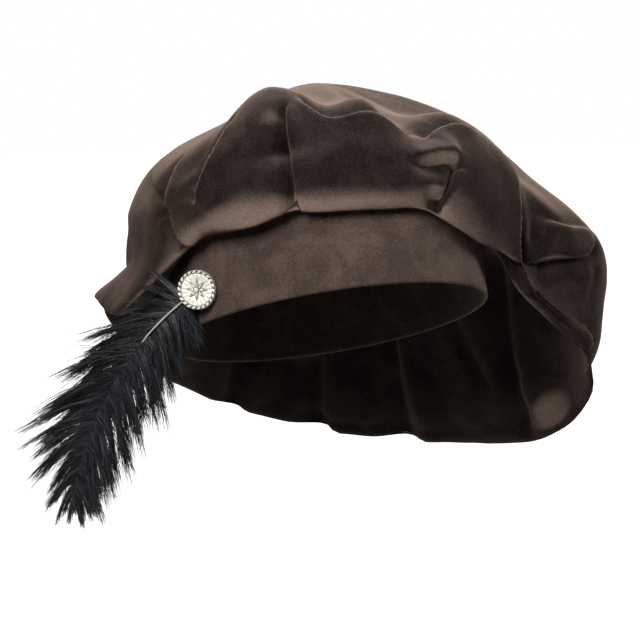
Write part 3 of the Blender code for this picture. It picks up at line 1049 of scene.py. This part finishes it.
    def wrinkles(self, points: np.ndarray) -> np.ndarray:
        """Works out the small unevenness of the cloth.

        Args:
            points: Where the cloth is, in millimetres.

        Returns:
            How far each point is lifted, in millimetres.
        """
        near = points.reshape(-1, 3) / self.wrinkle_size
        broad = [noise.noise(Vector(p)) for p in near]
        fine = [noise.noise(Vector(p * 2.7)) for p in near]
        lift = self.wrinkle * (np.array(broad) + 0.3 * np.array(fine))
        return lift.reshape(points.shape[:2])

    def points(self) -> np.ndarray:
        """Places the crown's outer face.

        Returns:
            An array [column, row, xyz] in metres.
        """
        azimuth, along = self.lines()
        points = self.smooth_points(azimuth, along)
        tangent = np.gradient(self.wrapped(points), axis=0)[1:-1]
        upward = np.gradient(points, axis=1)
        normal = np.cross(tangent, upward)
        frame_axes = np.stack([tangent, upward, normal], -2)
        frame_axes /= np.linalg.norm(frame_axes, axis=-1, keepdims=True) + 1e-9
        moves = sum(
            self.fold_shift(fold, azimuth, along) for fold in FRONT_FOLDS + SIDE_FOLDS + BACK_FOLDS
        )
        for swell in SWELLS:
            moves[..., 2] += self.swell_height(swell, azimuth, along)
        moves = self.softened(moves)
        moves[..., 2] += self.wrinkles(points)
        free = smooth_step(0, self.free_from, along) * (1 - smooth_step(self.free_to, 1, along))
        moved = points + np.einsum("cra,crax->crx", moves * free[None, :, None], frame_axes)
        moved[-1] = moved[0]
        return self.clear_of_band(moved) * MM

    def nap(self, points: np.ndarray) -> np.ndarray:
        """Finds the way the pile is stroked: towards the seam, and away from it where it is turned to paint
        highlights.

        Args:
            points: The cloth.

        Returns:
            A direction at each point, no longer than 1.
        """
        azimuth, along = self.lines()
        up = np.gradient(points, axis=1)
        stroke = -up / (np.linalg.norm(up, axis=-1, keepdims=True) + 1e-9)
        share = 1 + sum(self.swell_height(patch, azimuth, along) for patch in PAINTED_HIGHLIGHT_PATCHES)
        return stroke * np.clip(share, self.turned_most, 1)[..., None]

    def softened(self, moves: np.ndarray) -> np.ndarray:
        """Rounds the folds' moves over neighbouring points, as the stiffness of the cloth does.

        Args:
            moves: The moves of each point.

        Returns:
            The rounded moves.
        """
        for _ in range(self.softening):
            wide = self.wrapped(moves)
            moves = moves / 2 + (wide[:-2] + wide[2:]) / 4
            tall = np.pad(moves, ((0, 0), (1, 1), (0, 0)), mode="edge")
            moves = moves / 2 + (tall[:, :-2] + tall[:, 2:]) / 4
        return moves

    def wrapped(self, columns: np.ndarray) -> np.ndarray:
        """Adds a column at each end from the other end, because the last column is the first again.

        Args:
            columns: What the cloth's columns hold.

        Returns:
            The same with one more column at each end.
        """
        return np.concatenate([columns[-2:-1], columns, columns[1:2]])

    def clear_of_band(self, points: np.ndarray) -> np.ndarray:
        """Moves any point that would lie in the band's wall out to rest against it.

        Args:
            points: The cloth, in millimetres.

        Returns:
            The cloth, clear of the band.
        """
        turn = worn_turn(self.band.tilt)
        upright = points @ turn.T
        spare = self.band.wall + self.band.clearance
        oval = np.array([self.band.half_width, self.band.half_length]) + spare
        share = np.hypot(upright[..., 0] / oval[0], upright[..., 1] / oval[1])
        beside = upright[..., 2] < self.band.height + self.band.seam_gap / 2
        upright[..., :2] *= np.where(beside & (share < 1), 1 / share, 1)[..., None]
        return upright @ turn

    def build(self, finishes: dict[str, bpy.types.Material]) -> bpy.types.Object:
        """Makes the crown.

        Args:
            finishes: The hat's materials by part.

        Returns:
            The crown.
        """
        points = self.points()
        piece = place_piece(
            "crown_velvet", grid_mesh(points, self.nap(points)), finishes["crown"],
            "crown_velvet", ["crown"],
        )
        wall = piece.modifiers.new("cloth", "SOLIDIFY")
        wall.thickness = self.cloth * MM
        wall.offset = -1
        return piece


# Button and quill


@dataclass(frozen=True)
class Button:
    """The cast button: a rope rim, a fan of facets, and an eight-rayed star with a boss.

    Lengths are in millimetres. It stands on the band on a hidden post.
    """

    band: HeadBand
    azimuth: float = -73.0
    up: float = 16.0
    faces: float = -42.0
    stands_off: float = 6.4
    radius: float = 10.4
    face: float = 2.6
    dish: float = 0.5
    edge: float = 1.6
    columns: int = 320
    rings: int = 76
    facets: int = 20
    facet_relief: float = 0.22
    rays: int = 8
    ray_relief: float = 0.8
    ray_reach: float = 0.56
    boss_relief: float = 0.9
    boss_reach: float = 0.15
    beads: int = 22
    bead_relief: float = 0.95

    def frame(self) -> Matrix:
        """Finds where the middle of the button's back is, and its own axes.

        Returns:
            A matrix from the button's across, up and out of its face, to the hat.
        """
        side = radians(self.azimuth)
        x, y = self.band.half_width + self.band.wall, self.band.half_length + self.band.wall
        on_band = Vector((x * sin(side), -y * cos(side), self.up))
        away = Vector((sin(side) / x, -cos(side) / y, 0)).normalized()
        turn = radians(self.faces)
        face = Vector((sin(turn), -cos(turn), 0))
        across = Vector((cos(turn), sin(turn), 0))
        frame_of = Matrix((across, Vector((0, 0, 1)), face)).transposed().to_4x4()
        tilt = Matrix.Rotation(-radians(self.band.tilt), 3, "X")
        frame_of.translation = (tilt @ (on_band + away * self.stands_off)) * MM
        return frame_of

    def relief(self, out: np.ndarray, turn: np.ndarray) -> tuple[np.ndarray, np.ndarray]:
        """Works out the cast face.

        Args:
            out: Shares of the radius.
            turn: Angles.

        Returns:
            The height above the back in millimetres, and how deep in a hollow each place is.
        """
        height = self.face - self.dish * (1 - out**2)
        fan = np.abs(np.sin(turn * self.facets / 2))
        fan_zone = smooth_step(0.5, 0.6, out) * (1 - smooth_step(0.78, 0.82, out))
        height = height + self.facet_relief * fan_zone * (fan - 0.3)
        hollow = 0.3 * fan_zone * smooth_step(0.8, 1.0, 1 - fan)
        swing = np.abs((turn * self.rays / (2 * pi) + 0.5) % 1 - 0.5) * 2
        point = self.ray_reach * (1 - 0.66 * swing**0.7)
        inside = point - out
        ray = smooth_step(0, 0.10, inside)
        height = height + self.ray_relief * ray * (0.65 + 0.35 * (1 - swing))
        outline = np.exp(-((inside / 0.04) ** 2))
        height = height - 0.35 * outline
        hollow = np.maximum(hollow, 0.95 * outline)
        rib = np.exp(-((swing / 0.16) ** 2)) * ray * smooth_step(0.14, 0.2, out)
        hollow = np.maximum(hollow, 0.6 * rib)
        height = height - 0.2 * rib
        boss = np.sqrt(np.clip(1 - (out / self.boss_reach) ** 2, 0, 1))
        height = height + self.boss_relief * boss
        ring = np.exp(-(((out - self.boss_reach) / 0.025) ** 2))
        height = height - 0.25 * ring
        hollow = np.maximum(hollow, 0.9 * ring)
        slant = turn * self.beads + (out - 0.9) * 14
        bead_zone = smooth_step(0.83, 0.87, out) * (1 - smooth_step(0.965, 1.0, out))
        bead = 0.5 + 0.5 * np.cos(slant)
        height = height + bead_zone * self.bead_relief * (0.35 + 0.65 * bead)
        hollow = np.maximum(hollow, bead_zone * smooth_step(0.45, 0.9, 1 - bead))
        gutter = np.exp(-(((out - 0.825) / 0.016) ** 2))
        hollow = np.maximum(hollow, 0.9 * gutter)
        return height - 0.25 * gutter, hollow

    def build(self, finishes: dict[str, bpy.types.Material]) -> bpy.types.Object:
        """Makes the button.

        Args:
            finishes: The hat's materials by part.

        Returns:
            The button.
        """
        turn = np.linspace(0, 2 * pi, self.columns + 1)[:, None]
        out = np.concatenate([np.linspace(0, 1, self.rings + 1), [1.0, 1.0, 0.97, 0.6, 0.0]])[None]
        height, hollow = self.relief(np.broadcast_to(out, (len(turn), out.shape[1])), turn)
        under = np.array([self.edge * 0.6, 0.25, 0, 0, 0])
        height[:, -6] = self.edge
        height[:, -5:] = under
        across, up = out * np.cos(turn) * self.radius, out * np.sin(turn) * self.radius
        points = np.stack([across, up, height], -1)
        bm = grid_mesh(points * MM)
        bm.transform(self.frame())
        piece = place_piece("button_cast", bm, finishes["button"], "button_metal", ["button"])
        self.mark_hollows(piece.data)
        return piece

    def mark_hollows(self, mesh: bpy.types.Mesh) -> None:
        """Writes how hollow each point of the cast face is, for the patina.

        Args:
            mesh: The button's mesh, in place.
        """
        back = self.frame().inverted()
        local = np.array([back @ v.co for v in mesh.vertices]) / MM
        out = np.hypot(local[:, 0], local[:, 1]) / self.radius
        turn = np.arctan2(local[:, 1], local[:, 0])
        hollow = self.relief(out, turn)[1]
        hollow = np.where(local[:, 2] < self.edge, 0.3, hollow)
        layer = mesh.attributes.new("hollow", "FLOAT", "POINT")
        layer.data.foreach_set("value", hollow.astype(np.float32))


@dataclass(frozen=True)
class Barb:
    """How far the barbs reach at one place along the quill, across and down, in millimetres."""

    along: float
    left_across: float
    left_down: float
    right_across: float
    right_down: float


BARBS = (
    Barb(0.00, -14, -26, 6, 26),
    Barb(0.08, -27, -12, 6, 31),
    Barb(0.16, -44, 13, 6, 35),
    Barb(0.30, -51, 22, 8, 42),
    Barb(0.55, -46, 27, 8, 44),
    Barb(0.75, -35, 28, 6, 42),
    Barb(0.90, -20, 24, 3, 28),
    Barb(1.00, -4, 14, 2, 13),
)


@dataclass(frozen=True)
class Feather:
    """The ostrich plume, on the button's own axes: across, then down, in millimetres."""

    button: Button
    bend: Place = (-58.0, 40.0)
    tip: Place = (-72.0, 118.0)
    quill_from: float = 0.035
    quill_to: float = 0.86
    quill_radius: float = 0.55
    quill_behind: float = 1.15
    quill_sinks: float = 2.8
    quill_steps: int = 48
    quill_sides: int = 12
    vane_from: float = 0.06
    vane_behind: float = 3.7
    droop: float = 7.0
    clumps: int = 44
    barbs: int = 2100
    barb_points: int = 7
    barb_radius: float = 0.21
    down_barbs: int = 3000
    down_fineness: float = 0.7
    gathered: float = 0.95
    bow: float = 0.10
    thinning: float = 0.8
    tone_and_highlight_power: int = 3
    seed: int = 7

    def spine(self, along: np.ndarray) -> np.ndarray:
        """Follows the quill.

        Args:
            along: Shares of its length.

        Returns:
            One (across, down) for each.
        """
        t = np.asarray(along, float)[..., None]
        return 2 * t * (1 - t) * np.array(self.bend) + t**2 * np.array(self.tip)

    def reach(self, along: np.ndarray, side: int) -> np.ndarray:
        """Reads how far the barbs reach.

        Args:
            along: Shares of the quill's length.
            side: -1 for the barbs on the left, 1 for those on the right.

        Returns:
            One (across, down) for each.
        """
        table = np.array([list(vars(row).values()) for row in BARBS], float)
        columns = (1, 2) if side < 0 else (3, 4)
        return np.stack([np.interp(along, table[:, 0], table[:, c]) for c in columns], -1)

    def strands(self, side: int, count: int, rng: np.random.Generator, fluff: float) -> np.ndarray:
        """Draws the barbs of one side, drawn together in clumps at their ends.

        Args:
            side: -1 for the left, 1 for the right.
            count: How many.
            rng: The seeded source of their differences.
            fluff: From 0, long smooth barbs, to 1, short wandering down.

        Returns:
            An array [barb, point, (across, down, out)] in millimetres.
        """
        clump = rng.integers(0, self.clumps, count)
        centre = (np.arange(self.clumps) + rng.uniform(0.1, 0.9, self.clumps)) / self.clumps
        clump_length = rng.uniform(0.78, 1.12, self.clumps)
        clump_swing = rng.normal(0, 0.09, self.clumps)
        clump_out = rng.uniform(-2.2, 2.2, self.clumps)
        share = (clump + rng.uniform(-0.1, 1.1, count)) / self.clumps
        along = self.vane_from + (1 - self.vane_from) * np.clip(share, 0, 1)
        gathered = self.vane_from + (1 - self.vane_from) * centre[clump]
        drawn = self.gathered * (1 - 0.5 * fluff)
        end_along = along + (gathered - along) * drawn
        length = clump_length[clump] * rng.uniform(0.72, 1.05, count)
        length = length * (1 - fluff * rng.uniform(0.15, 0.75, count))
        end = self.spine(end_along) + self.reach(end_along, side) * length[:, None]
        swing = clump_swing[clump] + rng.normal(0, 0.03 + 0.16 * fluff, count)
        start = self.spine(along)
        run = end - start
        turned = np.stack([-run[:, 1], run[:, 0]], 1) * swing[:, None]
        end = end + turned
        u = np.linspace(0, 1, self.barb_points)[None, :, None]
        across = side * np.array([1.0, 0.0])
        lift = np.linalg.norm(run, axis=1)[:, None, None]
        bow = across * self.bow * lift - np.array([0.0, 1.0]) * self.bow * lift
        flat = start[:, None] + (end - start)[:, None] * u + bow * 4 * u * (1 - u) ** 1.5 * 0.7
        curl = rng.normal(0, 0.5 + 1.6 * fluff, (count, 1, 2)) * np.sin(u * pi * 1.6)
        flat = flat + curl * u
        raised = fluff * 2.6 * smooth_step(0.2, 0.5, along)[:, None] * (1 - u[..., 0])
        depth = raised - self.vane_behind - self.droop * u[..., 0] ** 2
        own = rng.uniform(-0.9, 0.9, (count, 1)) + (clump_out[clump] * 2.0)[:, None] * u[..., 0]
        own = own + rng.normal(0, 1.6, (count, 1)) * u[..., 0] ** 1.5
        return np.concatenate([flat * (1, -1), (depth + own)[..., None]], -1)

    def vane(
        self, name: str, strands: np.ndarray, look: bpy.types.Material, radius: float
    ) -> bpy.types.Object:
        """Makes a piece of the plume from its strands, a few of them paler than the rest, in tone and as painted
        highlights.

        Args:
            name: The piece's name.
            strands: The strands, in millimetres on the button's axes.
            look: Its material.
            radius: Of a strand at its root, in millimetres.

        Returns:
            The piece.
        """
        curve = bpy.data.curves.new(name, "CURVE")
        curve.dimensions = "3D"
        curve.bevel_depth = 1.0
        curve.bevel_resolution = 0
        curve.use_fill_caps = True
        count, points = strands.shape[:2]
        rng = np.random.default_rng(count)
        thin = 1 - self.thinning * np.linspace(0, 1, points) ** 1.5
        taper = (radius * MM * thin).astype(np.float32)
        for strand in strands * MM:
            spline = curve.splines.new("POLY")
            spline.points.add(points - 1)
            row = np.concatenate([strand, np.ones((points, 1))], 1)
            spline.points.foreach_set("co", row.ravel().astype(np.float32))
            spline.points.foreach_set("radius", taper)
        drawn = bpy.data.objects.new(name + "_curve", curve)
        bpy.context.scene.collection.objects.link(drawn)
        graph = bpy.context.evaluated_depsgraph_get()
        mesh = bpy.data.meshes.new_from_object(drawn.evaluated_get(graph))
        bpy.data.objects.remove(drawn)
        bpy.data.curves.remove(curve)
        mesh.transform(self.button.frame())
        mesh.name = name
        # Each strand's random share of the pale colour: tone, and painted highlights on the strands.
        tone_and_highlight = np.repeat(rng.random(count) ** self.tone_and_highlight_power, len(mesh.vertices) // count)
        mesh.attributes.new(TONE_AND_HIGHLIGHT, "FLOAT", "POINT").data.foreach_set("value", tone_and_highlight.astype(np.float32))
        stands_for = ["plume"] if name == "plume_left" else []
        return place_piece(name, mesh, look, "plume_black", stands_for)

    def build(self, finishes: dict[str, bpy.types.Material]) -> list[bpy.types.Object]:
        """Makes the plume and its quill.

        Args:
            finishes: The hat's materials by part.

        Returns:
            Their pieces.
        """
        rng = np.random.default_rng(self.seed)
        look = finishes["plume"]
        left = self.strands(-1, self.barbs, rng, 0.0)
        right = self.strands(1, self.barbs, rng, 0.0)
        half = self.down_barbs // 2
        down = np.concatenate(
            [self.strands(-1, half, rng, 1.0), self.strands(1, half, rng, 1.0)]
        )
        return [
            self.vane("plume_left", left, look, self.barb_radius),
            self.vane("plume_right", right, look, self.barb_radius),
            self.vane("plume_down", down, look, self.barb_radius * self.down_fineness),
            self.quill(finishes["quill"]),
        ]

    def quill(self, look: bpy.types.Material) -> bpy.types.Object:
        """Makes the quill, a tapered tube along the spine.

        Args:
            look: Its material.

        Returns:
            The quill.
        """
        along = np.linspace(self.quill_from, self.quill_to, self.quill_steps + 1)
        centre = self.spine(along) * (1, -1)
        run = np.gradient(centre, axis=0)
        run /= np.linalg.norm(run, axis=1, keepdims=True)
        side = np.stack([-run[:, 1], run[:, 0], np.zeros(len(run))], 1)
        radius = self.quill_radius * (1 - 0.6 * np.linspace(0, 1, len(along)))
        radius = np.concatenate([[0], radius, [0]])
        order = np.concatenate([[0], np.arange(len(along)), [len(along) - 1]])
        turn = np.linspace(0, 2 * pi, self.quill_sides + 1)[:, None, None]
        ring = side[order] * np.cos(turn) + np.array([0, 0, 1]) * np.sin(turn)
        behind = self.quill_behind + self.quill_sinks * smooth_step(0.27, 0.36, along)
        middle = np.concatenate([centre, -behind[:, None]], 1)
        bm = grid_mesh((middle[order] + ring * radius[:, None]) * MM)
        bm.transform(self.button.frame())
        return place_piece("plume_quill_horn", bm, look, "quill_grey", ["plume_quill"])


# Studio


@dataclass(frozen=True)
class Lamp:
    """A soft square lamp, placed from what the camera looks at, in metres."""

    name: str
    right: float
    up: float
    near: float
    size: float
    power: float


LAMPS = (
    Lamp("key", -0.38, 0.46, 1.00, 0.45, 17.0),
    Lamp("side", 1.20, 0.70, 0.35, 0.50, 14.0),
    Lamp("top", 0.05, 1.45, -0.15, 0.60, 40.0),
)


@dataclass(frozen=True)
class Studio:
    """The camera, the lights and the floor.

    azimuth is from the hat's front towards the camera's left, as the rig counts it.
    """

    azimuth: float = -25.0
    elevation: float = 6.0
    distance: float = 1.5
    pixel: float = 0.000545
    across: float = 7.2
    down: float = 4.6
    sensor: float = 36.0
    floor_down: float = 0.60
    floor_size: float = 30.0
    floor_grey: float = 0.28
    floor_glow: float = 1.3
    world_light: float = 0.05
    lit_up: float = 0.03

    def axes(self) -> tuple[Vector, Vector, Vector]:
        """Finds the camera's directions.

        Returns:
            Right, up and back.
        """
        turn, rise = radians(self.azimuth), radians(self.elevation)
        back = Vector((sin(turn) * cos(rise), -cos(turn) * cos(rise), sin(rise)))
        look = (-back).to_track_quat("-Z", "Y")
        return look @ Vector((1, 0, 0)), look @ Vector((0, 1, 0)), back

    def build(self) -> None:
        """Makes the camera, the lamps, the floor and the world."""
        right, up, back = self.axes()
        self.camera(right, up, back)
        for lamp in LAMPS:
            self.lamp(lamp, right * lamp.right + up * lamp.up + back * lamp.near)
        self.floor()
        self.world()
        bpy.context.scene.view_settings.view_transform = "Standard"

    def camera(self, right: Vector, up: Vector, back: Vector) -> None:
        """Makes the camera at the photograph's angle.

        Args:
            right: Its right.
            up: Its up.
            back: Its back.
        """
        made = bpy.data.cameras.new("camera")
        made.sensor_width = self.sensor
        made.lens = self.sensor * self.distance / (PHOTO_WIDTH * self.pixel)
        made.clip_end = 100
        camera = bpy.data.objects.new("camera", made)
        camera.location = back * self.distance - (right * self.across - up * self.down) * self.pixel
        camera.rotation_euler = (-back).to_track_quat("-Z", "Y").to_euler()
        bpy.context.scene.collection.objects.link(camera)
        bpy.context.scene.camera = camera

    def lamp(self, lamp: Lamp, place: Vector) -> None:
        """Makes one lamp, facing the hat.

        Args:
            lamp: Its size and power.
            place: Where it stands.
        """
        made = bpy.data.lights.new(lamp.name, "AREA")
        made.size = lamp.size
        made.energy = lamp.power
        light = bpy.data.objects.new(lamp.name, made)
        light.location = place
        aim = Vector((0, 0, self.lit_up)) - place
        light.rotation_euler = aim.to_track_quat("-Z", "Y").to_euler()
        bpy.context.scene.collection.objects.link(light)

    def floor(self) -> None:
        """Makes the pale floor, which glows for the camera and is a dim grey to the light."""
        bm = bmesh.new()
        bmesh.ops.create_grid(bm, x_segments=8, y_segments=8, size=self.floor_size / 2)
        bmesh.ops.translate(bm, verts=bm.verts, vec=(0, 0, -self.floor_down))
        mesh = bpy.data.meshes.new("floor")
        bm.to_mesh(mesh)
        bm.free()
        made, tree, shader = new_material("floor paper", (0.8, 0.8, 0.8))
        seen = tree.add("ShaderNodeLightPath").outputs["Is Camera Ray"]
        tree.fill(
            shader, Base_Color=(self.floor_grey, self.floor_grey, self.floor_grey, 1),
            Roughness=0.9, Emission_Color=tree.mix(seen, (0, 0, 0, 1), (1, 1, 1, 1)),
            Emission_Strength=self.floor_glow,
        )
        mesh.materials.append(made)
        floor = bpy.data.objects.new("floor", mesh)
        bpy.context.scene.collection.objects.link(floor)
        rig.stage(floor)

    def world(self) -> None:
        """Makes the white surroundings, dimmer as a light than they look."""
        made = bpy.data.worlds.new("studio")
        made.use_nodes = True
        tree = Tree(made.node_tree)
        seen = tree.add("ShaderNodeLightPath").outputs["Is Camera Ray"]
        strength = tree.span(seen, To_Min=self.world_light, To_Max=1.0)
        tree.fill(made.node_tree.nodes["Background"], Color=(1, 1, 1, 1), Strength=strength)
        bpy.context.scene.world = made


# The hat


def finish_post(look: bpy.types.Material) -> None:
    """Gives the hidden post, which keeps its CAD shape, its metal.

    Args:
        look: Its material.
    """
    for node in frame["nodes"].values():
        if node.name.startswith("button_post"):
            for slot in node.material_slots:
                slot.material = look


def main() -> None:
    """Builds the hat's pieces in order, then the studio, and writes the sizes."""
    logging.basicConfig(level=logging.INFO, format="%(name)s: %(message)s")
    nap = pile_group()
    finishes = {
        "crown": CROWN_VELVET.build(nap),
        "band": BAND_VELVET.build(nap),
        "button": CAST_METAL.build(),
        "plume": OSTRICH.build(),
        "quill": QUILL.build(),
    }
    band = HeadBand()
    crown = Crown(band)
    button = Button(band)
    feather = Feather(button)
    for part in (band, crown, button, feather):
        part.build(finishes)
    finish_post(POST_METAL.build())
    Studio().build()
    sizes = {"cad": [list(corner) for corner in CAD_BOX], "visual": [list(c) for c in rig.bounds()]}
    with open(SIZE_FILE, "w", encoding="utf-8") as file:
        json.dump(sizes, file)
    LOG.info("sizes written: %s", sizes)


if __name__ == "__main__":
    main()
